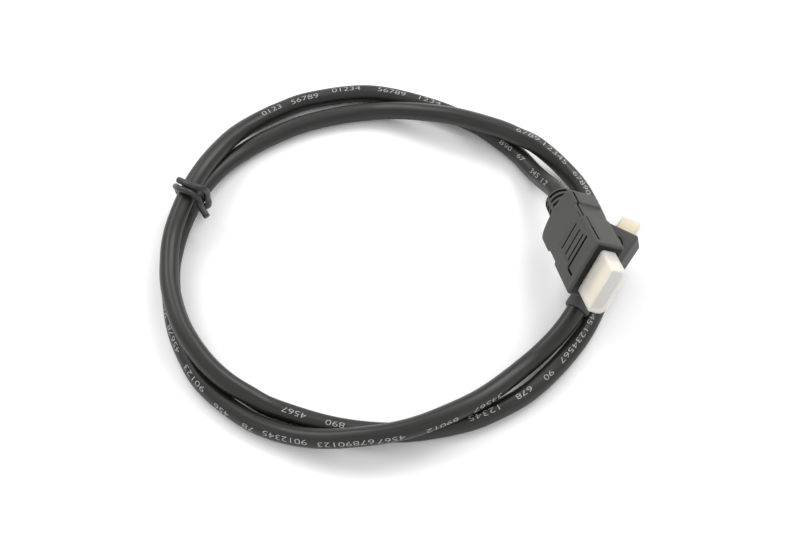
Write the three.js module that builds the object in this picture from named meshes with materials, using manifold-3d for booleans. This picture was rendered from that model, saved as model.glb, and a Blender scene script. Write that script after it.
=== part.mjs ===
// Audio and video cable laid in a round double coil, with a full-size plug on one end and a micro
// plug on the other, a pull-off cap over each plug's metal shell and a twist tie round the coil.
// Millimetres, +Z up. The coil lies on the plane z = 0 and the origin is under its middle.
import * as THREE from 'three';
import { mergeVertices } from 'three/addons/utils/BufferGeometryUtils.js';
import Module from 'manifold-3d';

const wasm = await Module();
wasm.setup();

// Driving dimensions
const seatGap = 0.3;
const cableDiameter = 5.7;
const cableSides = 10;
const cableSteps = 78;

// The tie is a round soft wire, wound once round both strands and twisted on top
const tieDiameter = 2;
const tieSides = 8;
const tieSteps = 40;

// Large plug: x runs across the wide face, y through the thickness, z out of the mating end
const large = {
  at: [54.65, -17.3, 26.9],
  forward: [0.19, -0.911, 0.365],
  across: [-0.385, -0.39, -0.836],
  gripWidth: 18.6,
  gripThickness: 10,
  gripLength: 28,
  gripTaper: 0.1,
  gripEdge: 1.6,
  fingerDip: 0.7,
  fingerDipAt: 16,
  fingerDipLength: 6.4,
  shoulder: 2.2,
  reliefLength: 7.3,
  reliefFrontRadius: 5,
  reliefBackRadius: 4.7,
  slotWidth: 0.9,
  slotDepth: 0.8,
  slotPitch: 2.4,
  slotRows: 3,
  shellWidth: 13.9,
  shellThickness: 4.45,
  shellWall: 0.4,
  shellOut: 8.1,
  shellCornerCut: 1.2,
  insertRecess: 1.5,
  tongueSlotThickness: 1.6,
  capWall: 0.4,
  capGap: 0.15,
};

// Small plug, in the same axes
const small = {
  at: [66.1, 3.5, 12.9],
  forward: [0.545, 0.812, 0.195],
  across: [-0.83, 0.555, -0.15],
  gripWidth: 10.5,
  gripThickness: 7.8,
  gripLength: 18.6,
  gripTaper: 0.5,
  gripEdge: 1,
  fingerDip: 0,
  fingerDipAt: 8,
  fingerDipLength: 4,
  shoulder: 1.2,
  reliefLength: 9,
  reliefFrontRadius: 3.7,
  reliefBackRadius: 3.7,
  slotWidth: 0.7,
  slotDepth: 0.4,
  slotPitch: 1.8,
  slotRows: 2,
  shellWidth: 5.83,
  shellThickness: 2.2,
  shellWall: 0.3,
  shellOut: 4.2,
  shellCornerCut: 0.5,
  insertRecess: 0.8,
  tongueSlotThickness: 0.6,
  capWall: 0.5,
  capGap: 0.15,
};

// All places in this file are measured from the middle of the ring. This moves the whole part so
// that the origin is under the middle of its box.
const shift = [-0.36, -2.83, -0.01];

// The cable's centre line from the large plug to the small one, where it lies
const route = [
  [46.9, 19.7, 12.2], [44.3, 25.6, 8.4], [41.8, 31.0, 5.4], [37.0, 39.8, 2.9], [30.4, 46.2, 2.85], [24.0, 51.3, 2.85], [9.0, 58.8, 2.85],
  [-10.0, 63.8, 2.85], [-28.7, 61.2, 2.85], [-39.6, 56.4, 2.9], [-47.4, 50.4, 4.2], [-52.8, 43.4, 7.0],
  [-57.2, 35.4, 9.5], [-60.8, 28.2, 10.7], [-64.0, 20.6, 10.9], [-66.6, 12.6, 10.1], [-68.2, 4.8, 9.2],
  [-68.2, -3.6, 8.8], [-66.9, -12.8, 8.8], [-62.8, -24.4, 8.9],
  [-56.3, -34.2, 8.2], [-49.6, -40.6, 7.0], [-42.5, -44.6, 4.8], [-34.9, -48.0, 3.0], [-17.5, -53.4, 2.85],
  [0.0, -55.0, 2.85], [16.1, -52.6, 2.85], [27.0, -48.5, 2.85], [38.1, -41.5, 2.85], [49.8, -29.1, 2.85],
  [57.4, -16.6, 2.85], [62.0, -3.0, 2.85], [61.9, 9.0, 2.85], [57.4, 23.9, 3.0], [51.6, 32.4, 4.6],
  [43.2, 39.1, 7.9], [36.6, 42.4, 8.9], [30.4, 45.6, 8.9], [18.5, 49.8, 8.8], [8.7, 52.8, 7.2],
  [0.0, 55.1, 5.2], [-9.0, 56.2, 3.3], [-20.0, 54.8, 2.85], [-31.6, 51.3, 2.85], [-41.8, 46.0, 2.85],
  [-49.2, 40.8, 2.9], [-55.3, 34.4, 3.9], [-60.2, 27.0, 4.9], [-63.2, 20.6, 5.1], [-66.4, 12.2, 4.1],
  [-68.2, 4.4, 3.1], [-68.6, -5.0, 2.85], [-65.9, -20.5, 2.85], [-61.2, -32.0, 2.85],
  [-55.0, -41.2, 2.85], [-43.4, -50.6, 2.85], [-32.7, -55.4, 3.4], [-21.5, -58.0, 5.8], [-9.0, -58.2, 8.2],
  [2.0, -56.4, 8.9], [12.0, -52.6, 8.9], [23.7, -46.0, 7.6], [36.1, -35.1, 4.6], [43.4, -28.4, 5.3], [47.9, -23.4, 6.5],
];

// The tie's centre line, from the tail on the outside, over both strands, down on the inside, under
// them, up on the outside and over them again to the tail on the inside
const tieRoute = [
  [-67.1, 22.9, 14.3], [-65.0, 21.2, 15.1], [-62.7, 19.5, 15.5], [-59.7, 19.1, 14.2], [-58.7, 19.7, 11.2],
  [-59.0, 20.0, 7.6], [-59.0, 20.1, 4.7], [-60.0, 20.6, 2.0], [-63.6, 21.6, 1.05], [-67.3, 23.0, 3.2],
  [-68.3, 23.0, 6.4], [-68.1, 22.2, 9.6], [-68.0, 21.0, 12.2], [-66.4, 18.7, 14.5], [-64.2, 17.5, 15.1],
  [-62.2, 16.9, 14.1], [-60.9, 16.5, 12.2], [-60.5, 15.6, 10.8], [-59.6, 14.1, 10.0], [-58.2, 11.9, 9.5],
];

const black = (name) => new THREE.MeshStandardMaterial({ name, color: 0x2a2b2c, roughness: 0.5, metalness: 0 });
const gold = (name) => new THREE.MeshStandardMaterial({ name, color: 0xd9b45a, roughness: 0.3, metalness: 1 });
const milky = (name) => new THREE.MeshStandardMaterial({
  name,
  color: 0xf4f4ee,
  roughness: 0.35,
  metalness: 0,
  transparent: true,
  opacity: 0.5,
});

// Solids and geometries
function toSolid(geometry) {
  const bare = geometry.clone();
  bare.deleteAttribute('normal');
  bare.deleteAttribute('uv');
  const merged = mergeVertices(bare, 1e-4);
  const mesh = new wasm.Mesh({
    numProp: 3,
    vertProperties: new Float32Array(merged.attributes.position.array),
    triVerts: new Uint32Array(merged.index.array),
  });
  return new wasm.Manifold(mesh);
}

function toGeometry(solid) {
  const mesh = solid.getMesh();
  const geometry = new THREE.BufferGeometry();
  geometry.setAttribute('position', new THREE.BufferAttribute(new Float32Array(mesh.vertProperties), 3));
  geometry.setIndex(new THREE.BufferAttribute(new Uint32Array(mesh.triVerts), 1));
  geometry.computeVertexNormals();
  return geometry;
}

function mesh(name, geometry, material) {
  const made = new THREE.Mesh(geometry, material);
  made.name = name;
  return made;
}

// A closed outline with cut corners, used for metal shells, caps and inserts. The two corners on
// the +y side are cut deeper, as they are on such plugs.
function plugOutline(width, thickness, deepCut, smallCut) {
  const w = width / 2;
  const t = thickness / 2;
  const shape = new THREE.Shape();
  shape.moveTo(-w + smallCut, -t);
  shape.lineTo(w - smallCut, -t);
  shape.lineTo(w, -t + smallCut);
  shape.lineTo(w, t - deepCut);
  shape.lineTo(w - deepCut, t);
  shape.lineTo(-w + deepCut, t);
  shape.lineTo(-w, t - deepCut);
  shape.lineTo(-w, -t + smallCut);
  shape.closePath();
  return shape;
}

function prism(shape, from, to) {
  const geometry = new THREE.ExtrudeGeometry(shape, { depth: to - from, bevelEnabled: false, steps: 1 });
  geometry.translate(0, 0, from);
  return toSolid(geometry);
}

// The moulded grip: an outline seen on its wide face, drawn through the thickness with soft edges
function gripSolid(plug) {
  const front = plug.gripWidth / 2 - plug.gripEdge;
  const back = front - plug.gripTaper;
  const halfAt = (z) => front + (back - front) * (z / plug.gripLength);
  const length = plug.gripLength - 2 * plug.gripEdge;
  const dipFrom = plug.fingerDipAt - plug.fingerDipLength / 2;
  const dipTo = plug.fingerDipAt + plug.fingerDipLength / 2;
  const neck = plug.reliefFrontRadius - plug.gripEdge + 0.2;
  const side = [[front, 0]];
  if (plug.fingerDip > 0) {
    side.push([halfAt(dipFrom), dipFrom - 0.8]);
    side.push([halfAt(dipFrom) - plug.fingerDip, dipFrom + 0.4]);
    side.push([halfAt(dipTo) - plug.fingerDip, dipTo - 0.4]);
    side.push([halfAt(dipTo), dipTo + 0.8]);
  }
  side.push([back, length - plug.shoulder]);
  side.push([Math.max(neck, back - plug.shoulder * 0.3), length - plug.shoulder * 0.3]);
  side.push([Math.max(neck, back - plug.shoulder), length]);
  const shape = new THREE.Shape();
  shape.moveTo(side[0][0], -side[0][1]);
  for (const [x, z] of side.slice(1)) shape.lineTo(x, -z);
  for (const [x, z] of side.reverse()) shape.lineTo(-x, -z);
  shape.closePath();
  const geometry = new THREE.ExtrudeGeometry(shape, {
    depth: plug.gripThickness - 2 * plug.gripEdge,
    bevelEnabled: true,
    bevelThickness: plug.gripEdge,
    bevelSize: plug.gripEdge,
    bevelSegments: 2,
    steps: 1,
  });
  geometry.translate(0, -plug.gripEdge, -(plug.gripThickness / 2 - plug.gripEdge));
  geometry.rotateX(Math.PI / 2);
  return toSolid(geometry);
}

// The strain relief: a tapered round sleeve behind the grip with rows of broken slots round it
function reliefSolid(plug) {
  const from = -plug.gripLength + 2;
  const to = -plug.gripLength - plug.reliefLength;
  const sleeve = new THREE.CylinderGeometry(plug.reliefFrontRadius, plug.reliefBackRadius, from - to, 24);
  sleeve.rotateX(Math.PI / 2);
  sleeve.translate(0, 0, (from + to) / 2);
  let solid = toSolid(sleeve);
  const reach = plug.reliefFrontRadius + 1;
  const inner = plug.reliefBackRadius - plug.slotDepth;
  for (let row = 0; row < plug.slotRows; row += 1) {
    const z = to + plug.slotPitch * (row + 0.8);
    const ring = new THREE.Shape();
    ring.absarc(0, 0, reach, 0, Math.PI * 2, false);
    const hole = new THREE.Path();
    hole.absarc(0, 0, inner, 0, Math.PI * 2, true);
    ring.holes.push(hole);
    const band = new THREE.ExtrudeGeometry(ring, { depth: plug.slotWidth, bevelEnabled: false, curveSegments: 12 });
    band.translate(0, 0, z);
    const turn = row % 2 === 0 ? 0 : Math.PI / 2;
    const bridge = new THREE.BoxGeometry(2 * reach + 1, plug.slotWidth * 2.2, plug.slotWidth * 2);
    bridge.rotateZ(turn);
    bridge.translate(0, 0, z + plug.slotWidth / 2);
    solid = solid.subtract(toSolid(band).subtract(toSolid(bridge)));
  }
  return solid;
}

// The metal shell: a thin folded tube, open at the mating end
function shellSolid(plug) {
  const cut = plug.shellCornerCut;
  const inner = {
    width: plug.shellWidth - 2 * plug.shellWall,
    thickness: plug.shellThickness - 2 * plug.shellWall,
  };
  const outside = plugOutline(plug.shellWidth, plug.shellThickness, cut, cut / 3);
  const inside = plugOutline(inner.width, inner.thickness, cut - plug.shellWall / 2, cut / 4);
  const tube = prism(outside, seatGap, seatGap + plug.shellOut);
  return tube.subtract(prism(inside, 0, seatGap + plug.shellOut + 1));
}

// The insulating block inside the shell, with the slot that takes the socket's tongue
function insertSolid(plug) {
  const loose = 2 * plug.shellWall + 2 * 0.1;
  const width = plug.shellWidth - loose;
  const thickness = plug.shellThickness - loose;
  const cut = plug.shellCornerCut - plug.shellWall / 2;
  const to = seatGap + plug.shellOut - plug.insertRecess;
  const block = prism(plugOutline(width, thickness, cut, cut / 3), seatGap, to);
  const slot = new THREE.BoxGeometry(width * 0.86, plug.tongueSlotThickness, plug.shellOut);
  slot.translate(0, 0, to - plug.shellOut / 2 + plug.shellOut * 0.25 + plug.shellOut * 0.15);
  return block.subtract(toSolid(slot));
}

// The pull-off cap: a box closed at the front that slides over the shell
function capSolid(plug) {
  const grow = 2 * plug.capGap;
  const shellEnd = seatGap + plug.shellOut;
  const cut = plug.shellCornerCut;
  const insideWidth = plug.shellWidth + grow;
  const insideThickness = plug.shellThickness + grow;
  const outside = plugOutline(insideWidth + 2 * plug.capWall, insideThickness + 2 * plug.capWall, cut, cut / 2);
  const inside = plugOutline(insideWidth, insideThickness, cut / 2, cut / 4);
  const body = prism(outside, seatGap, shellEnd + seatGap + plug.capWall);
  return body.subtract(prism(inside, 0, shellEnd + seatGap));
}

// A group whose own axes are the plug's: x across, y through the thickness, z out of the front
function plugGroup(plug) {
  const z = new THREE.Vector3(...plug.forward).normalize();
  const y = z.clone().cross(new THREE.Vector3(...plug.across)).normalize();
  const x = y.clone().cross(z);
  const frame = new THREE.Matrix4().makeBasis(x, y, z).setPosition(...plug.at);
  const group = new THREE.Group();
  frame.decompose(group.position, group.quaternion, group.scale);
  return group;
}

function plugPieces(prefix, plug) {
  const group = plugGroup(plug);
  const grip = gripSolid(plug).add(reliefSolid(plug));
  group.add(mesh(`${prefix}_plug_grip`, toGeometry(grip), black('grip')));
  group.add(mesh(`${prefix}_plug_shell`, toGeometry(shellSolid(plug)), gold('shell')));
  group.add(mesh(`${prefix}_plug_insert`, toGeometry(insertSolid(plug)), black('insert')));
  group.add(mesh(`${prefix}_plug_cap`, toGeometry(capSolid(plug)), milky('cap')));
  return group;
}

// Where the cable's end face meets the strain relief of a plug
function reliefEnd(plug) {
  const back = plug.gripLength + plug.reliefLength + seatGap;
  return new THREE.Vector3(...plug.at).addScaledVector(new THREE.Vector3(...plug.forward).normalize(), -back);
}

// A round solid along a smooth curve through the points
function roundAlong(points, diameter, sides, steps) {
  const section = new THREE.Shape();
  for (let i = 0; i < sides; i += 1) {
    const angle = ((i + 0.5) / sides) * Math.PI * 2;
    const x = Math.cos(angle) * diameter / 2;
    const y = Math.sin(angle) * diameter / 2;
    if (i === 0) section.moveTo(x, y);
    else section.lineTo(x, y);
  }
  section.closePath();
  const curve = new THREE.CatmullRomCurve3(points, false, 'catmullrom', 0.5);
  curve.arcLengthDivisions = 2000;
  return new THREE.ExtrudeGeometry(section, { steps, bevelEnabled: false, extrudePath: curve });
}

function cable() {
  const points = route.map((p) => new THREE.Vector3(...p));
  points.unshift(reliefEnd(large));
  points.push(reliefEnd(small));
  return mesh('cable', roundAlong(points, cableDiameter, cableSides, cableSteps), black('jacket'));
}

function twistTie() {
  const points = tieRoute.map((p) => new THREE.Vector3(...p));
  return mesh('twist_tie', roundAlong(points, tieDiameter, tieSides, tieSteps), black('tie'));
}

const part = new THREE.Group();
part.position.set(...shift);
part.add(cable());
part.add(twistTie());
part.add(plugPieces('large', large));
part.add(plugPieces('small', small));

export default part;
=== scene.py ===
import math

import bmesh
import bpy
from mathutils import Matrix, Vector


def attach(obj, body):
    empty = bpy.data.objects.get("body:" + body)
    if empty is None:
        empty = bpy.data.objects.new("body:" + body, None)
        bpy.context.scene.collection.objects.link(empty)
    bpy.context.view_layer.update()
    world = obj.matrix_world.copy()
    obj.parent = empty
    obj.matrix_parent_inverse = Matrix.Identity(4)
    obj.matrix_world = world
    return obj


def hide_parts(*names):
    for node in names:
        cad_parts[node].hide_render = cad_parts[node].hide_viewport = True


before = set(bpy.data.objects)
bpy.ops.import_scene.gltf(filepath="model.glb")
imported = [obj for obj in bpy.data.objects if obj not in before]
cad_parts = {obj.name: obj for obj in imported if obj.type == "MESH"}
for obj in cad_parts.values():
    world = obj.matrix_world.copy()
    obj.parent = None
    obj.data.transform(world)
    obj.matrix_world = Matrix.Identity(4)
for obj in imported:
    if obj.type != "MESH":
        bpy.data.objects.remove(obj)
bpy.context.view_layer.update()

# Lengths and places are in millimetres unless a comment says otherwise, and MM turns them into metres.
MM = 0.001
# Places are measured from the middle of the ring. SHIFT puts the origin under the middle of the box.
SHIFT = Vector((-0.36, -2.83, -0.01))

# The cable and the tie
cable_radius = 2.85
cable_step = 1.2
cable_sides = 30
cable_into_grip = 1.5
ridge_depth = 0.13
ridge_count = 6
ridge_turn_per_mm = 0.035
tie_radius = 1.0
tie_step = 0.5
tie_sides = 16

# The plugs. A plug's own axes start in the middle of its grip's front: z points forward, x runs along
# the width and y through the thickness. Places along a grip count backward from that front.
large = dict(
    at=(54.65, -17.3, 26.9), forward=(0.19, -0.911, 0.365), across=(-0.385, -0.39, -0.836),
    half_width=9.3, half_back=9.15, half_thickness=4.55, wide_face=5.0, corner=0.9, edge=0.7, length=28.0,
    shoulder=2.6, dip=0.75, dip_from=12.9, dip_to=20.2, relief=7.3, relief_front=5.0, relief_back=4.7,
    slot_width=1.2, slot_depth=1.4, slot_rows=(1.2, 3.4, 5.6), slot_arc=74,
    shell_width=13.9, shell_thickness=4.45, shell_out=8.1, shell_cut=1.2, cap_wall=0.4,
)
small = dict(
    at=(66.1, 3.5, 12.9), forward=(0.545, 0.812, 0.195), across=(-0.83, 0.555, -0.15),
    half_width=5.25, half_back=4.75, half_thickness=3.9, wide_face=3.9, corner=0.8, edge=0.6, length=18.6,
    shoulder=1.6, dip=0.0, dip_from=0.0, dip_to=0.0, relief=9.0, relief_front=3.75, relief_back=3.75,
    slot_width=0.7, slot_depth=0.5, slot_rows=(2.0, 4.0), slot_arc=66,
    shell_width=5.83, shell_thickness=2.2, shell_out=4.2, shell_cut=0.5, cap_wall=0.5,
)
# The gap between a grip and what stands in front of or behind it, and between a cap and its shell
seat_gap = 0.3
cap_gap = 0.15

# The cable's middle line, from the end of the large plug's strain relief to that of the small plug
route = [
    (46.9, 19.7, 12.2), (44.3, 25.6, 8.4), (41.8, 31.0, 5.4), (37.0, 39.8, 2.9), (30.4, 46.2, 2.85),
    (24.0, 51.3, 2.85), (9.0, 58.8, 2.85), (-10.0, 63.8, 2.85), (-28.7, 61.2, 2.85), (-39.6, 56.4, 2.9),
    (-47.4, 50.4, 4.2), (-52.8, 43.4, 7.0), (-57.2, 35.4, 9.5), (-60.8, 28.2, 10.7), (-64.0, 20.6, 10.9),
    (-66.6, 12.6, 10.1), (-68.2, 4.8, 9.2), (-68.2, -3.6, 8.8), (-66.9, -12.8, 8.8), (-62.8, -24.4, 8.9),
    (-56.3, -34.2, 8.2), (-49.6, -40.6, 7.0), (-42.5, -44.6, 4.8), (-34.9, -48.0, 3.0), (-17.5, -53.4, 2.85),
    (0.0, -55.0, 2.85), (16.1, -52.6, 2.85), (27.0, -48.5, 2.85), (38.1, -41.5, 2.85), (49.8, -29.1, 2.85),
    (57.4, -16.6, 2.85), (62.0, -3.0, 2.85), (61.9, 9.0, 2.85), (57.4, 23.9, 3.0), (51.6, 32.4, 4.6),
    (43.2, 39.1, 7.9), (36.6, 42.4, 8.9), (30.4, 45.6, 8.9), (18.5, 49.8, 8.8), (8.7, 52.8, 7.2),
    (0.0, 55.1, 5.2), (-9.0, 56.2, 3.3), (-20.0, 54.8, 2.85), (-31.6, 51.3, 2.85), (-41.8, 46.0, 2.85),
    (-49.2, 40.8, 2.9), (-55.3, 34.4, 3.9), (-60.2, 27.0, 4.9), (-63.2, 20.6, 5.1), (-66.4, 12.2, 4.1),
    (-68.2, 4.4, 3.1), (-68.6, -5.0, 2.85), (-65.9, -20.5, 2.85), (-61.2, -32.0, 2.85), (-55.0, -41.2, 2.85),
    (-43.4, -50.6, 2.85), (-32.7, -55.4, 3.4), (-21.5, -58.0, 5.8), (-9.0, -58.2, 8.2), (2.0, -56.4, 8.9),
    (12.0, -52.6, 8.9), (23.7, -46.0, 7.6), (36.1, -35.1, 4.6), (43.4, -28.4, 5.3), (47.9, -23.4, 6.5),
]
# The tie's middle line, from one free end round both strands to the other
tie_route = [
    (-66.9, 21.9, 14.4), (-65.0, 20.5, 15.1), (-62.7, 19.1, 15.4), (-59.7, 19.1, 14.2), (-58.7, 19.7, 11.2),
    (-59.0, 20.0, 7.6), (-59.0, 20.1, 4.7), (-60.0, 20.6, 2.0), (-63.6, 21.6, 1.05), (-67.3, 23.0, 3.2),
    (-68.3, 23.0, 6.4), (-68.1, 22.2, 9.6), (-68.0, 21.0, 12.2), (-66.4, 18.7, 14.5), (-64.2, 17.5, 15.1),
    (-62.2, 16.9, 14.1), (-60.9, 16.5, 12.2), (-60.5, 15.6, 10.8), (-59.6, 14.1, 10.0), (-58.2, 11.9, 9.5),
]

# Plain digits in place of words. Each group has its place along the cable, its turn in degrees from
# straight up (outward is positive) and how many digits it has.
digit_groups = [
    (8, -40, 2), (15, -35, 3), (25, -28, 2), (33, -32, 3), (63, 6, 4), (76, 0, 5), (91, 2, 5),
    (105, -14, 5), (117, -7, 4), (250, 6, 4), (262, 6, 3), (304, 6, 5), (317, 4, 3), (326, 14, 2),
    (338, 10, 7), (354, 7, 8), (398, 8, 5), (411, 8, 5), (421, 8, 4), (579, 54, 4), (590, 38, 5),
    (604, 36, 5), (616, 61, 3), (625, 62, 2), (636, 51, 7), (653, 59, 8), (665, 65, 4), (679, 75, 5),
    (693, 72, 5),
]
digit_pitch = 1.95
digit_space = 0.5
digit_height = 1.5
digit_strip = 0.4
digit_lift = 0.02
stroke_offset = -0.012


# Curves and meshes
def smooth(points, step):
    """Points along the smooth curve through the given ones, evenly spaced, and its length."""
    pieces = 24
    p = [Vector(q) for q in points]
    p = [2 * p[0] - p[1]] + p + [2 * p[-1] - p[-2]]
    fine = []
    for i in range(1, len(p) - 2):
        a, b, c, d = p[i - 1], p[i], p[i + 1], p[i + 2]
        for k in range(pieces):
            t = k / pieces
            fine.append(0.5 * (2 * b + (c - a) * t + (2 * a - 5 * b + 4 * c - d) * t * t
                               + (3 * b - a - 3 * c + d) * t ** 3))
    fine.append(p[-2].copy())
    run = [0.0]
    for a, b in zip(fine, fine[1:]):
        run.append(run[-1] + (b - a).length)
    count = max(2, round(run[-1] / step))
    out, k = [], 0
    for i in range(count + 1):
        want = run[-1] * i / count
        while k < len(run) - 2 and run[k + 1] < want:
            k += 1
        t = (want - run[k]) / max(1e-9, run[k + 1] - run[k])
        out.append(fine[k].lerp(fine[k + 1], min(1.0, t)))
    return out, run[-1]


def tangents(points):
    """The direction of the line at each of its points."""
    last = len(points) - 1
    return [(points[min(i + 1, last)] - points[max(i - 1, 0)]).normalized() for i in range(last + 1)]


def make(name, verts, faces, material):
    """A smoothly shaded piece from points in millimetres."""
    data = bpy.data.meshes.new(name)
    data.from_pydata([v * MM for v in verts], [], faces)
    data.validate()
    made = bpy.data.objects.new(name, data)
    bpy.context.collection.objects.link(made)
    data.materials.append(material)
    data.polygons.foreach_set("use_smooth", [True] * len(data.polygons))
    return made


def tube(name, points, radius, sides, material, ridge=0.0, ridges=0, turn_per_mm=0.0):
    """A closed round tube along the points, with shallow lengthwise ridges that turn slowly.

    Its attribute "along" holds each point's place on the straightened tube, in millimetres.
    """
    side = tangents(points)[0].cross(Vector((0, 0, 1))).normalized()
    verts, along, s = [], [], 0.0
    before = points[0]
    for centre, t in zip(points, tangents(points)):
        side = (side - t * side.dot(t)).normalized()
        other = t.cross(side)
        s += (centre - before).length
        before = centre
        for k in range(sides):
            a = 2 * math.pi * k / sides
            wave = math.cos(ridges * a + turn_per_mm * s) * math.cos(2 * a - 0.5 * turn_per_mm * s)
            r = radius - ridge * (0.5 + 0.5 * wave)
            verts.append(centre + (side * math.cos(a) + other * math.sin(a)) * r)
            along.append((radius * math.cos(a), radius * math.sin(a), s))
    faces = []
    for i in range(len(points) - 1):
        for k in range(sides):
            a, b = i * sides + k, i * sides + (k + 1) % sides
            faces.append((a, b, b + sides, a + sides))
    faces.append(tuple(range(sides))[::-1])
    faces.append(tuple(range(len(verts) - sides, len(verts))))
    made = make(name, verts, faces, material)
    where = made.data.attributes.new("along", "FLOAT_VECTOR", "POINT")
    where.data.foreach_set("vector", [c for v in along for c in v])
    return made


# Materials. Every look has one coarse noise for its colour and gloss and a finer one for its bump.
mottle_detail = 4.0
grain_detail = 3.0
dark_until, light_from = 0.35, 0.65
gloss_from, gloss_until = 0.3, 0.7
bump_depth = 0.05


def add_noise(tree, place, scale, detail):
    """Adds a noise over the given place and returns the output that holds its value."""
    noise = tree.nodes.new("ShaderNodeTexNoise")
    noise.inputs["Scale"].default_value = scale
    noise.inputs["Detail"].default_value = detail
    tree.links.new(place, noise.inputs["Vector"])
    return noise.outputs["Fac"]


def node_material(name, light, dark, roughness, swing, scale, bump, bump_scale, metallic=0.0,
                  specular=0.5, attribute=None, stretch=(1, 1, 1), alpha=1.0):
    """A plain surface with slightly uneven colour and gloss and a fine bump."""
    made = bpy.data.materials.new(name)
    made.use_nodes = True
    tree = made.node_tree
    shader = tree.nodes["Principled BSDF"]
    shader.inputs["Metallic"].default_value = metallic
    shader.inputs["Specular IOR Level"].default_value = specular
    shader.inputs["Alpha"].default_value = alpha
    if attribute:
        source = tree.nodes.new("ShaderNodeAttribute")
        source.attribute_name = attribute
        start = source.outputs["Vector"]
    else:
        start = tree.nodes.new("ShaderNodeTexCoord").outputs["Object"]
    mapping = tree.nodes.new("ShaderNodeMapping")
    mapping.inputs["Scale"].default_value = stretch
    tree.links.new(start, mapping.inputs["Vector"])
    place = mapping.outputs["Vector"]

    mottle = add_noise(tree, place, scale, mottle_detail)
    ramp = tree.nodes.new("ShaderNodeValToRGB")
    for stop, position, colour in zip(ramp.color_ramp.elements, (dark_until, light_from), (dark, light)):
        stop.position = position
        stop.color = (*colour, 1)
    tree.links.new(mottle, ramp.inputs["Fac"])
    tree.links.new(ramp.outputs["Color"], shader.inputs["Base Color"])

    gloss = tree.nodes.new("ShaderNodeMapRange")
    for socket, value in (("From Min", gloss_from), ("From Max", gloss_until),
                          ("To Min", roughness - swing), ("To Max", roughness + swing)):
        gloss.inputs[socket].default_value = value
    tree.links.new(mottle, gloss.inputs["Value"])
    tree.links.new(gloss.outputs["Result"], shader.inputs["Roughness"])

    grain = tree.nodes.new("ShaderNodeBump")
    grain.inputs["Strength"].default_value = bump
    grain.inputs["Distance"].default_value = bump_depth * MM
    tree.links.new(add_noise(tree, place, bump_scale, grain_detail), grain.inputs["Height"])
    tree.links.new(grain.outputs["Normal"], shader.inputs["Normal"])
    return made


jacket_look = node_material(
    "jacket_look", light=(0.016, 0.016, 0.0145), dark=(0.009, 0.009, 0.008), roughness=0.38, swing=0.07,
    scale=1.4, bump=0.25, bump_scale=5.0, specular=0.42, attribute="along", stretch=(1, 1, 0.06))
print_look = node_material(
    "print_look", light=(0.42, 0.43, 0.42), dark=(0.3, 0.31, 0.3), roughness=0.6, swing=0.05,
    scale=3000.0, bump=0.2, bump_scale=6000.0)
tie_look = node_material(
    "tie_look", light=(0.02, 0.02, 0.02), dark=(0.013, 0.013, 0.013), roughness=0.4, swing=0.06,
    scale=900.0, bump=0.3, bump_scale=3000.0)
grip_look = node_material(
    "grip_look", light=(0.046, 0.046, 0.044), dark=(0.038, 0.038, 0.037), roughness=0.6, swing=0.05,
    scale=700.0, bump=0.5, bump_scale=4500.0)
front_look = node_material(
    "grip_front_look", light=(0.012, 0.012, 0.011), dark=(0.009, 0.009, 0.008), roughness=0.5, swing=0.05,
    scale=700.0, bump=0.3, bump_scale=4500.0, specular=0.25)
# Near black: painted shade for the depths of the cut slots, lines and grooves
groove_shade_look = node_material(
    "groove_shade_look", light=(0.007, 0.007, 0.0065), dark=(0.005, 0.005, 0.005), roughness=0.7, swing=0.05,
    scale=700.0, bump=0.3, bump_scale=4500.0, specular=0.2)
shell_look = node_material(
    "shell_look", light=(0.95, 0.8, 0.42), dark=(0.9, 0.74, 0.36), roughness=0.32, swing=0.04,
    scale=120.0, bump=0.01, bump_scale=60.0, metallic=1.0)
insert_look = node_material(
    "insert_look", light=(0.022, 0.022, 0.022), dark=(0.015, 0.015, 0.015), roughness=0.5, swing=0.05,
    scale=800.0, bump=0.25, bump_scale=3000.0)
cap_look = node_material(
    "cap_look", light=(0.97, 0.96, 0.93), dark=(0.94, 0.93, 0.9), roughness=0.3, swing=0.05,
    scale=120.0, bump=0.01, bump_scale=60.0, alpha=0.42)
clear_look = node_material(
    "clear_cap_look", light=(0.86, 0.86, 0.85), dark=(0.82, 0.82, 0.81), roughness=0.2, swing=0.05,
    scale=120.0, bump=0.01, bump_scale=60.0, alpha=0.3)
floor_look = node_material(
    "floor_look", light=(0.93, 0.93, 0.93), dark=(0.92, 0.92, 0.92), roughness=0.85, swing=0.03,
    scale=30.0, bump=0.02, bump_scale=400.0, specular=0.1)

# Camera: straight in front of the ring, looking down on it
camera_distance = 364.0
camera_tilt = math.radians(30)
camera_lens = 54
camera_sensor = 36
nearest_seen = 10.0

camera = bpy.data.objects.new("camera", bpy.data.cameras.new("camera"))
bpy.context.collection.objects.link(camera)
camera.location = (SHIFT + camera_distance * Vector((0, -math.sin(camera_tilt), math.cos(camera_tilt)))) * MM
camera.rotation_euler = (camera_tilt, 0, 0)
camera.data.lens = camera_lens
camera.data.sensor_width = camera_sensor
camera.data.clip_start = nearest_seen * MM
bpy.context.scene.camera = camera
bpy.context.scene.view_settings.view_transform = "Standard"

# Light: an even white surrounding and two soft lamps behind the ring
surrounding_strength = 0.97
world = bpy.context.scene.world or bpy.data.worlds.new("world")
bpy.context.scene.world = world
world.use_nodes = True
world.node_tree.nodes["Background"].inputs["Color"].default_value = (1, 1, 1, 1)
world.node_tree.nodes["Background"].inputs["Strength"].default_value = surrounding_strength


def softbox(name, place, size, power):
    """A rectangular lamp that faces the origin; place and size are in metres, power in watts."""
    light = bpy.data.lights.new(name, "AREA")
    light.shape = "RECTANGLE"
    light.size, light.size_y = size
    light.energy = power
    made = bpy.data.objects.new(name, light)
    bpy.context.collection.objects.link(made)
    made.location = place
    made.rotation_euler = (-Vector(place)).to_track_quat("-Z", "Y").to_euler()


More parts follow.
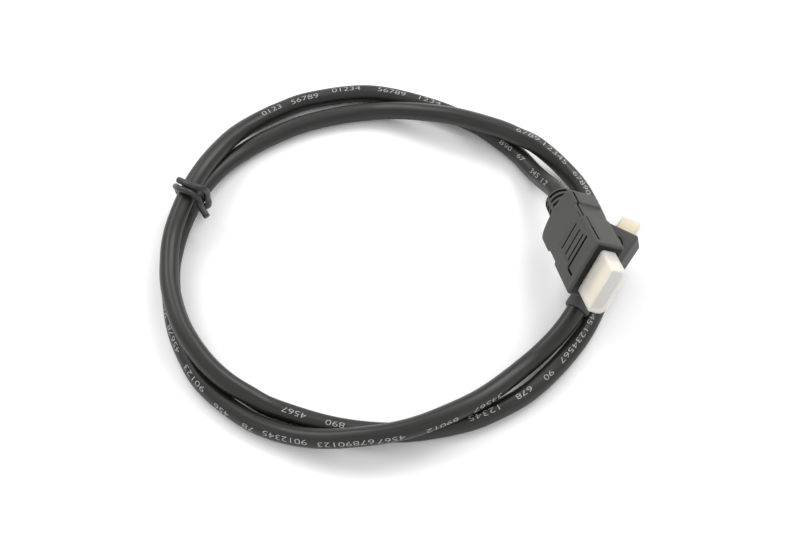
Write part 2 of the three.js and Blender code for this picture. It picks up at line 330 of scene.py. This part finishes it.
softbox("light_back_left", place=(-0.5, 0.55, 0.75), size=(0.6, 0.5), power=3.6)
softbox("light_back_right", place=(0.45, 0.5, 0.75), size=(0.5, 0.5), power=4.0)

# Floor
floor_half = 3000.0
floor_corners = [Vector((x, y, 0)) * floor_half for x, y in ((-1, -1), (1, -1), (1, 1), (-1, 1))]
floor = make("floor", floor_corners, [(0, 1, 2, 3)], floor_look)


# Where the plugs are
def forward_of(plug):
    return Vector(plug["forward"]).normalized()


def plug_frame(plug):
    """The matrix from a plug's own axes to the frame, in millimetres."""
    z = forward_of(plug)
    y = z.cross(Vector(plug["across"])).normalized()
    x = y.cross(z)
    turn = Matrix((x, y, z)).transposed().to_4x4()
    turn.translation = Vector(plug["at"]) + SHIFT
    return turn


def relief_end(plug):
    """Where the cable comes out of a plug's strain relief, before SHIFT."""
    return Vector(plug["at"]) - forward_of(plug) * (plug["length"] + plug["relief"] + seat_gap)


# The cable
ends = [relief_end(large), relief_end(small)]
first = ends[0] + forward_of(large) * cable_into_grip
last = ends[1] + forward_of(small) * cable_into_grip
centre_line, cable_length = smooth([ends[0]] + route + [ends[1]], cable_step)
centre_line = [p + SHIFT for p in centre_line]
cable_points = [first + SHIFT] + centre_line + [last + SHIFT]
jacket = tube("cable_jacket", cable_points, cable_radius, cable_sides, jacket_look, ridge=ridge_depth,
              ridges=ridge_count, turn_per_mm=ridge_turn_per_mm)
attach(jacket, "cable_and_plugs")
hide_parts("cable")


# The print on the cable
def on_cable(s, angle, lift):
    """The point on the cable's skin at s mm from the large plug's end, turned outward from the top."""
    step = cable_length / (len(centre_line) - 1)
    f = min(max(s / step, 0.0), len(centre_line) - 1.001)
    i = int(f)
    centre = centre_line[i].lerp(centre_line[i + 1], f - i)
    t = (centre_line[i + 1] - centre_line[i]).normalized()
    up = (Vector((0, 0, 1)) - t * t.z).normalized()
    out = t.cross(up)
    if out.dot(Vector((centre.x, centre.y, 0))) < 0:
        out = -out
    return centre + (up * math.cos(angle) + out * math.sin(angle)) * (cable_radius + lift)


def flat_digits(text):
    """The text as a flat mesh, in the font's own size."""
    curve = bpy.data.curves.new("digits", "FONT")
    curve.body = text
    curve.offset = stroke_offset
    holder = bpy.data.objects.new("digits", curve)
    bpy.context.collection.objects.link(holder)
    bpy.context.view_layer.update()
    flat = bpy.data.meshes.new_from_object(holder.evaluated_get(bpy.context.evaluated_depsgraph_get()))
    bpy.data.objects.remove(holder)
    bpy.data.curves.remove(curve)
    work = bmesh.new()
    work.from_mesh(flat)
    bpy.data.meshes.remove(flat)
    return work


def fit_digits(work, size):
    """Stretches the flat digits to the size, round their middle."""
    for axis in (0, 1):
        places = [v.co[axis] for v in work.verts]
        low, high = min(places), max(places)
        for v in work.verts:
            v.co[axis] = (v.co[axis] - low) / (high - low) * size[axis] - size[axis] / 2


def slice_digits(work, size):
    """Cuts the flat digits into strips both ways, so that they can bend round the cable."""
    for axis in (0, 1):
        cut = -size[axis] / 2 + digit_strip
        while cut < size[axis] / 2:
            where, normal = Vector((0, 0, 0)), Vector((0, 0, 0))
            where[axis], normal[axis] = cut, 1.0
            bmesh.ops.bisect_plane(work, geom=work.verts[:] + work.edges[:] + work.faces[:],
                                   plane_co=where, plane_no=normal)
            cut += digit_strip


def digits_piece():
    """All groups of digits, bent round the cable, as one thin piece."""
    verts, faces = [], []
    digit = 1
    for s0, turned, count in digit_groups:
        size = (count * digit_pitch - digit_space, digit_height)
        work = flat_digits("".join(str((digit + k) % 10) for k in range(count)))
        digit += count
        fit_digits(work, size)
        slice_digits(work, size)
        work.verts.ensure_lookup_table()
        start = len(verts)
        for v in work.verts:
            verts.append(on_cable(s0 - v.co.x, math.radians(turned) + v.co.y / cable_radius, digit_lift))
        for f in work.faces:
            faces.append(tuple(start + v.index for v in f.verts))
        work.free()
    return make("cable_print", verts, faces, print_look)


printing = digits_piece()
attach(printing, "cable_and_plugs")

# The tie
tie_points = [p + SHIFT for p in smooth(tie_route, tie_step)[0]]
tie = tube("tie_wire", tie_points, tie_radius, tie_sides, tie_look)
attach(tie, "cable_and_plugs")
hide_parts("twist_tie")

# The moulded grips. A grip is a skin over sections, and these are the steps of its round stretches.
corner_steps = 7
side_steps = 4
edge_steps = 6
shoulder_steps = 8
relief_end_steps = 5
slot_steps = 8
# Sizes that both grips share
least_corner = 0.3
behind_edge = 1.5
mid_pad = 8.0
before_shoulder = 0.2
neck_play = 0.25
relief_soft = 0.7
# How far the finger recess takes to reach its depth, and the sections from just before to just behind
recess_slope = 0.8
slope_stops = (-0.1, 0.0, 0.2, 0.4, 0.6, 0.8, 0.9)
recess_middle = 16.5

# A cutter reaches this far past the surface that it cuts, and the edges that it leaves are softened.
over = 1.0
soft_edge = 0.09
soft_edge_from = math.radians(40)

# The lines on the large grip's wide face as (from x, to x, z), and the wider bent one in front of them
pad_lines = ((-5.6, 3.4, -13.8), (-5.8, 3.3, -10.7), (-6.0, 3.3, -8.1))
pad_bent_line = ((-6.9, -6.1), (4.2, -6.1), (4.6, -5.7), (4.65, -2.7))
pad_line_width = 0.6
pad_bent_width = 0.85
pad_line_depth = 0.6

# The grooves along the large grip's narrow faces
groove_from = 1.6
groove_before_shoulder = 0.3
groove_from_face = 1.0
groove_half_width = 0.27
groove_depth = 0.4

# The oval line on the small grip's wide face
oval_half_width = 3.4
oval_half_length = 5.6
oval_middle = -8.6
oval_line_width = 0.4
oval_line_depth = 0.35
oval_step = 12


def section(a, b, r):
    """A rounded rectangle of half-sizes a and b, always with the same number of points."""
    r = min(r, a, b)
    corners = ((a - r, b - r, 0), (-(a - r), b - r, 90), (-(a - r), -(b - r), 180), (a - r, -(b - r), 270))

    def on_corner(n, turned):
        cx, cy, start = corners[n % 4]
        t = math.radians(start + turned)
        return cx + r * math.cos(t), cy + r * math.sin(t)

    out = []
    for n in range(4):
        out += [on_corner(n, 90 * k / corner_steps) for k in range(corner_steps + 1)]
        end, goal = out[-1], on_corner(n + 1, 0)
        for k in range(1, side_steps):
            f = k / side_steps
            out.append((end[0] + (goal[0] - end[0]) * f, end[1] + (goal[1] - end[1]) * f))
    return out


def loft(name, stations, plug, material):
    """A closed skin over sections (z, half-width, half-thickness, corner, y) in the plug's own axes."""
    turn = plug_frame(plug)
    verts, faces = [], []
    for z, a, b, r, off in stations:
        verts += [turn @ Vector((x, y + off, z)) for x, y in section(a, b, r)]
    n = len(verts) // len(stations)
    for i in range(len(stations) - 1):
        for k in range(n):
            p, q = i * n + k, i * n + (k + 1) % n
            faces.append((p, p + n, q + n, q))
    faces.append(tuple(range(n)))
    faces.append(tuple(range((len(stations) - 1) * n, len(stations) * n))[::-1])
    return make(name, verts, faces, material)


def width_at(plug, l):
    """The grip's half-width at l mm behind its front, with the finger recess."""
    a = plug["half_width"] + (plug["half_back"] - plug["half_width"]) * l / plug["length"]
    if plug["dip"] > 0:
        into = min(max((l - plug["dip_from"]) / recess_slope, 0), 1)
        out = min(max((plug["dip_to"] - l) / recess_slope, 0), 1)
        f = into * out
        a -= plug["dip"] * f * f * (3 - 2 * f)
    return a


def relief_radius(plug, l):
    """The strain relief's radius at l mm behind its front."""
    return plug["relief_front"] + (plug["relief_back"] - plug["relief_front"]) * l / plug["relief"]


def edge_sections(plug, off):
    """The rounded edge of the grip's front."""
    out = []
    for k in range(edge_steps + 1):
        t = math.pi / 2 * k / edge_steps
        inset = plug["edge"] * (1 - math.sin(t))
        out.append((-plug["edge"] * (1 - math.cos(t)), plug["half_width"] - inset,
                    plug["half_thickness"] - inset, max(least_corner, plug["corner"] - inset), off))
    return out


def body_sections(plug, off):
    """The body of the grip, with the finger recess where there is one."""
    stops = [plug["edge"] + behind_edge, mid_pad]
    if plug["dip"] > 0:
        d0, d1 = plug["dip_from"], plug["dip_to"]
        stops += [d0 + s for s in slope_stops] + [(d0 + d1) / 2] + [d1 - s for s in reversed(slope_stops)]
    stops.append(plug["length"] - plug["shoulder"] - before_shoulder)
    return [(-l, width_at(plug, l), plug["half_thickness"], plug["corner"], off) for l in stops]


def shoulder_sections(plug, off):
    """The round shoulder down to the strain relief."""
    shoulder_from = plug["length"] - plug["shoulder"]
    wide, narrow = width_at(plug, shoulder_from), plug["relief_front"] + neck_play
    out = []
    for k in range(shoulder_steps + 1):
        t = math.pi / 2 * k / shoulder_steps
        a = narrow + (wide - narrow) * math.cos(t)
        b = plug["half_thickness"] + (plug["relief_front"] - plug["half_thickness"]) * (1 - math.cos(t))
        r = plug["corner"] + (plug["relief_front"] - plug["corner"]) * (1 - math.cos(t))
        out.append((-(shoulder_from + plug["shoulder"] * math.sin(t)), a, b, r, off * math.cos(t)))
    return out


def relief_sections(plug):
    """The strain relief with its rounded end."""
    length, out = plug["length"], []
    back = length + plug["relief"]
    for l in (length + neck_play, (length + back) / 2, back - relief_soft):
        r = relief_radius(plug, l - length)
        out.append((-l, r, r, r, 0))
    for k in range(1, relief_end_steps + 1):
        t = math.pi / 2 * k / relief_end_steps
        r = plug["relief_back"] - relief_soft * (1 - math.cos(t))
        out.append((-(back - relief_soft + relief_soft * math.sin(t)), r, r, r, 0))
    return out


def fix_normals(piece):
    work = bmesh.new()
    work.from_mesh(piece.data)
    bmesh.ops.recalc_face_normals(work, faces=work.faces)
    work.to_mesh(piece.data)
    work.free()


def plain_grip(name, plug):
    """A grip before anything is cut out of it."""
    off = plug["half_thickness"] - plug["wide_face"]
    stations = (edge_sections(plug, off) + body_sections(plug, off) + shoulder_sections(plug, off)
                + relief_sections(plug))
    made = loft(name, stations, plug, grip_look)
    fix_normals(made)
    return made


def add_bar(rings, cutter, closed=False):
    """Adds a bar over rings of four points to the cutter's points and faces; a closed one has no ends."""
    verts, faces = cutter
    start, count = len(verts), len(rings)
    for ring in rings:
        verts += ring
    for i in range(count if closed else count - 1):
        p, q = start + 4 * i, start + 4 * ((i + 1) % count)
        for k in range(4):
            faces.append((p + k, p + (k + 1) % 4, q + (k + 1) % 4, q + k))
    if not closed:
        faces.append((start + 3, start + 2, start + 1, start))
        faces.append(tuple(start + 4 * (count - 1) + k for k in range(4)))


def add_strip(line, width, low, high, cutter, closed=False):
    """A bar that follows a line of (x, z) points on the wide face, from y low to y high."""
    rings = []
    last = len(line) - 1
    for i, p in enumerate(line):
        a, b = Vector(line[max(i - 1, 0)]), Vector(line[min(i + 1, last)])
        if closed:
            a, b = Vector(line[i - 1]), Vector(line[(i + 1) % (last + 1)])
        d = (b - a).normalized()
        n = Vector((-d.y, d.x)) * width / 2
        l, r = Vector(p) + n, Vector(p) - n
        rings.append([Vector((l.x, low, l.y)), Vector((r.x, low, r.y)), Vector((r.x, high, r.y)),
                      Vector((l.x, high, l.y))])
    add_bar(rings, cutter, closed)


def add_relief_slots(plug, cutter):
    """Bent bars for the rows of four slots round the strain relief, on its diagonals."""
    half, arc = plug["slot_width"] / 2, plug["slot_arc"]
    for l in plug["slot_rows"]:
        z = -(plug["length"] + l)
        inner, outer = relief_radius(plug, l) - plug["slot_depth"], relief_radius(plug, l) + over
        corners = ((inner, -half), (outer, -half), (outer, half), (inner, half))
        for middle in (45, 135, 225, 315):
            rings = []
            for i in range(slot_steps + 1):
                t = math.radians(middle - arc / 2 + arc * i / slot_steps)
                rings.append([Vector((r * math.cos(t), r * math.sin(t), z + h)) for r, h in corners])
            add_bar(rings, cutter)


def add_edge_groove(plug, side, cutter):
    """A fine groove on a narrow face, beside the corner of the wide face, that follows the recess."""
    slope = slope_stops[1:-1]
    stops = ([groove_from, mid_pad] + [plug["dip_from"] + s for s in slope] + [recess_middle]
             + [plug["dip_to"] - s for s in reversed(slope)]
             + [plug["length"] - plug["shoulder"] - groove_before_shoulder])
    y = -plug["wide_face"] + groove_from_face
    low, high = y - groove_half_width, y + groove_half_width
    rings = []
    for l in stops:
        inner, outer = side * (width_at(plug, l) - groove_depth), side * (width_at(plug, l) + over)
        rings.append([Vector((inner, low, -l)), Vector((outer, low, -l)), Vector((outer, high, -l)),
                      Vector((inner, high, -l))])
    add_bar(rings, cutter)


def cut_away(piece, plug, groups):
    """Cuts each group of closed bars out of the piece, then softens the new edges a little."""
    turn = plug_frame(plug)
    cutters = []
    for verts, faces in groups:
        cutter = make("cutter", [turn @ v for v in verts], faces, piece.data.materials[0])
        fix_normals(cutter)
        change = piece.modifiers.new("cut", "BOOLEAN")
        change.operation, change.solver, change.object = "DIFFERENCE", "EXACT", cutter
        cutters.append(cutter)
    edge = piece.modifiers.new("soft_edge", "BEVEL")
    edge.limit_method, edge.angle_limit = "ANGLE", soft_edge_from
    edge.width, edge.segments = soft_edge * MM, 2
    bpy.context.view_layer.update()
    done = bpy.data.meshes.new_from_object(piece.evaluated_get(bpy.context.evaluated_depsgraph_get()))
    if len(done.polygons) < len(piece.data.polygons):
        raise RuntimeError(f"{piece.name}: a cut took the piece away")
    piece.modifiers.clear()
    piece.data = done
    for cutter in cutters:
        bpy.data.objects.remove(cutter)


def darken_front(piece, plug):
    """Gives the faces that look forward a darker, glossier material than the rest of the grip."""
    facing, least_area = 0.9, 4 * MM * MM
    piece.data.materials.append(front_look)
    for polygon in piece.data.polygons:
        if polygon.normal.dot(forward_of(plug)) > facing and polygon.area > least_area:
            polygon.material_index = 1


def paint_groove_shade(piece, plug, face):
    """Paints shade into the slots, lines and grooves; face is the y of the wide face that has the lines."""
    back = plug_frame(plug).inverted()
    piece.data.materials.append(groove_shade_look)
    shade_index = len(piece.data.materials) - 1
    toward = -1 if face > 0 else 1
    length, relief = plug["length"], plug["relief"]
    slots_from, slots_to, slot_skin = length + 0.2, length + relief - 0.8, 0.15
    lines_from, lines_to, lines_within = 2.2, 15.5, plug["half_width"] - 1.2
    grooves_from, grooves_to, groove_reach = 1.8, length - plug["shoulder"], 0.3
    line_skin, line_bottom, groove_bottom = 0.12, 0.9, 0.5
    for polygon in piece.data.polygons:
        c = back @ (polygon.center / MM)
        l = -c.z
        below = (c.y - face) * toward
        if slots_from < l < slots_to:
            dark = math.hypot(c.x, c.y) < relief_radius(plug, l - length) - slot_skin
        elif lines_from < l < lines_to and abs(c.x) < lines_within:
            dark = line_skin < below < line_bottom
        else:
            dark = (grooves_from < l < grooves_to and abs(below - groove_from_face) < groove_reach
                    and line_skin < width_at(plug, l) - abs(c.x) < groove_bottom)
        # These faces get the painted shade
        if dark:
            polygon.material_index = shade_index


# The large grip
large_grip = plain_grip("large_grip", large)
lines, slots, groove_left, groove_right = ([], []), ([], []), ([], []), ([], [])
face = -large["wide_face"]
for x0, x1, z in pad_lines:
    add_strip([(x0, z), (x1, z)], pad_line_width, face - over, face + pad_line_depth, lines)
add_strip(pad_bent_line, pad_bent_width, face - over, face + pad_line_depth, lines)
add_relief_slots(large, slots)
add_edge_groove(large, -1, groove_left)
add_edge_groove(large, 1, groove_right)
cut_away(large_grip, large, [lines, slots, groove_left, groove_right])
darken_front(large_grip, large)
# The cut lines, slots and grooves get painted shade
paint_groove_shade(large_grip, large, face)
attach(large_grip, "cable_and_plugs")
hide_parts("large_plug_grip")

# The small grip
small_grip = plain_grip("small_grip", small)
ring, slots = ([], []), ([], [])
face = small["wide_face"]
oval = [(oval_half_width * math.cos(t), oval_middle + oval_half_length * math.sin(t))
        for t in [math.radians(a) for a in range(0, 360, oval_step)]]
add_strip(oval, oval_line_width, face - oval_line_depth, face + over, ring, closed=True)
add_relief_slots(small, slots)
cut_away(small_grip, small, [ring, slots])
# The cut oval line and slots get painted shade
paint_groove_shade(small_grip, small, face)
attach(small_grip, "cable_and_plugs")
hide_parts("small_plug_grip")

# The pull-off caps. Each pair is an inset of the rounded closed end and how far before the end it is.
cap_rounding = ((0.0, 0.35), (0.1, 0.1), (0.3, 0.0))
cap_soft = 0.4
cap_soft_inside = 0.2
cut_per_inset = 0.3
cap_corner_steps = 3


def cap_outline(width, thickness, deep_cut, small_cut, soft):
    """A box whose corners are cut off, deeper at one wide side, with every new corner softened."""
    w, t = width / 2, thickness / 2
    corners = [(-w + small_cut, -t), (w - small_cut, -t), (w, -t + small_cut), (w, t - deep_cut),
               (w - deep_cut, t), (-w + deep_cut, t), (-w, t - deep_cut), (-w, -t + small_cut)]
    out = []
    for i in range(8):
        before, c, after = Vector(corners[i - 1]), Vector(corners[i]), Vector(corners[(i + 1) % 8])
        a, b = before - c, after - c
        r = min(soft, a.length * 0.4, b.length * 0.4)
        p, q = c + a.normalized() * r, c + b.normalized() * r
        for k in range(cap_corner_steps + 1):
            f = k / cap_corner_steps
            out.append(p * (1 - f) ** 2 + c * 2 * f * (1 - f) + q * f * f)
    return out


def cap_piece(name, plug, look):
    """A cap with a wall of even thickness, open toward the grip."""
    turn = plug_frame(plug)
    wall, cut = plug["cap_wall"], plug["shell_cut"]
    inner_w, inner_t = plug["shell_width"] + 2 * cap_gap, plug["shell_thickness"] + 2 * cap_gap
    inner_end = seat_gap + plug["shell_out"] + seat_gap
    end = inner_end + wall
    rings = []
    for inset, z in [(0.0, seat_gap)] + [(inset, end - before) for inset, before in cap_rounding]:
        outline = cap_outline(inner_w + 2 * wall - 2 * inset, inner_t + 2 * wall - 2 * inset,
                              cut - inset * cut_per_inset, cut / 2 - inset * cut_per_inset, cap_soft)
        rings.append([(p.x, p.y, z) for p in outline])
    for z in (seat_gap, inner_end):
        outline = cap_outline(inner_w, inner_t, cut / 2, cut / 4, cap_soft_inside)
        rings.append([(p.x, p.y, z) for p in outline])
    verts = [turn @ Vector(v) for ring in rings for v in ring]
    n = len(rings[0])
    faces = []
    for i in (0, 1, 2):
        for k in range(n):
            p, q = i * n + k, i * n + (k + 1) % n
            faces.append((p, q, q + n, p + n))
    faces.append(tuple(range(3 * n, 4 * n)))
    for k in range(n):
        p, q = 4 * n + k, 4 * n + (k + 1) % n
        faces.append((q, p, p + n, q + n))
        faces.append((k, p, q, (k + 1) % n))
    faces.append(tuple(range(5 * n, 6 * n))[::-1])
    made = make(name, verts, faces, look)
    fix_normals(made)
    return made


for side, plug, look in (("large", large, cap_look), ("small", small, clear_look)):
    cap = cap_piece(f"{side}_milky_cap", plug, look)
    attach(cap, f"{side}_cap")
    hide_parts(f"{side}_plug_cap")

# The gold shells and their inserts keep the CAD model's shapes and get new looks.
for side in ("large", "small"):
    for part, look in (("shell", shell_look), ("insert", insert_look)):
        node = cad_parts[f"{side}_plug_{part}"]
        node.data.materials.clear()
        node.data.materials.append(look)
